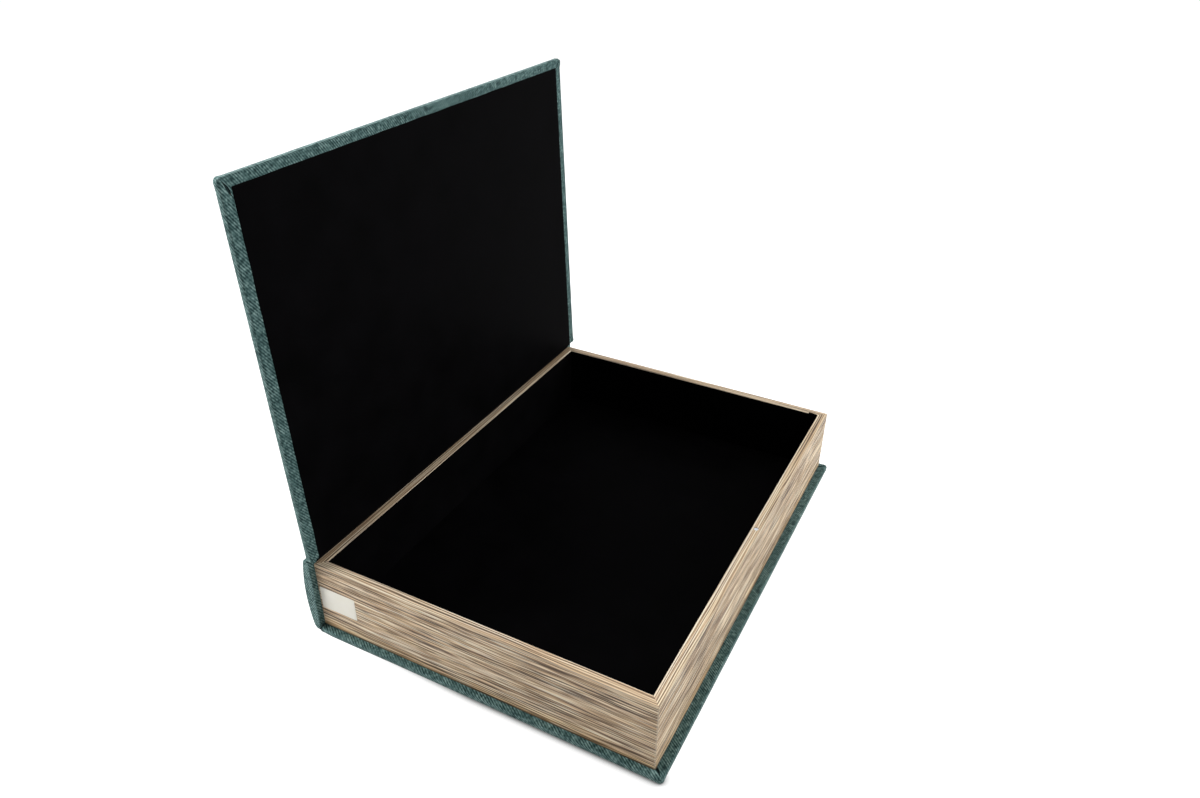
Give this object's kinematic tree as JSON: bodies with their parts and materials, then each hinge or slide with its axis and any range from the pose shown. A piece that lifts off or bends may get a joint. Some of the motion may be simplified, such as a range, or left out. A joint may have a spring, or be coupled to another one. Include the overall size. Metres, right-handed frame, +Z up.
{
  "type": "book box",
  "caption": "Cloth-bound book box: a shallow wood-look tray lined in black, fixed inside a hardback case whose hinged front board is the lid.",
  "frame": {"origin": "on the case's underside, below the middle of the tray", "axes": "+X along the spine, -Y towards the fore edge, +Y towards the spine, +Z up from the surface it lies on"},
  "size_m": [0.32, 0.2431, 0.286],
  "materials": {
    "case_board": "matt grey board",
    "tray_board": "matt fibreboard",
    "book_cloth": "matt woven book cloth, grey-green",
    "wood_paper": "satin paper with a streaked wood look",
    "black_paper": "satin black lining paper",
    "magnet": "plated",
    "sticker_paper": "smooth, left blank"
  },
  "bodies": {
    "case": {"bottom_board": "case_board", "spine_board": "tray_board", "bottom_cloth": "book_cloth", "spine_cloth": "book_cloth", "hinge_cloth": "book_cloth", "hinge_lining": "black_paper", "front_wall": "tray_board", "back_wall": "tray_board", "left_wall": "tray_board", "right_wall": "tray_board", "tray_floor": "case_board", "front_veneer": "wood_paper", "back_veneer": "wood_paper", "left_veneer": "wood_paper", "right_veneer": "wood_paper", "front_lining": "black_paper", "back_lining": "black_paper", "left_lining": "black_paper", "right_lining": "black_paper", "floor_lining": "black_paper", "rim_magnet": "magnet", "blank_sticker": "sticker_paper"},
    "lid": {"lid_board": "case_board", "lid_cloth": "book_cloth", "lid_lining": "black_paper", "lid_magnet": "magnet"}
  },
  "joints": [
    {"name": "lid_hinge", "type": "hinge", "parent": "case", "child": "lid", "pos_m": [0, 0.112, 0.0557], "axis": [1, 0, 0], "range_deg": [0, 92.8], "deforming": ["hinge_cloth", "hinge_lining"]}
  ]
}
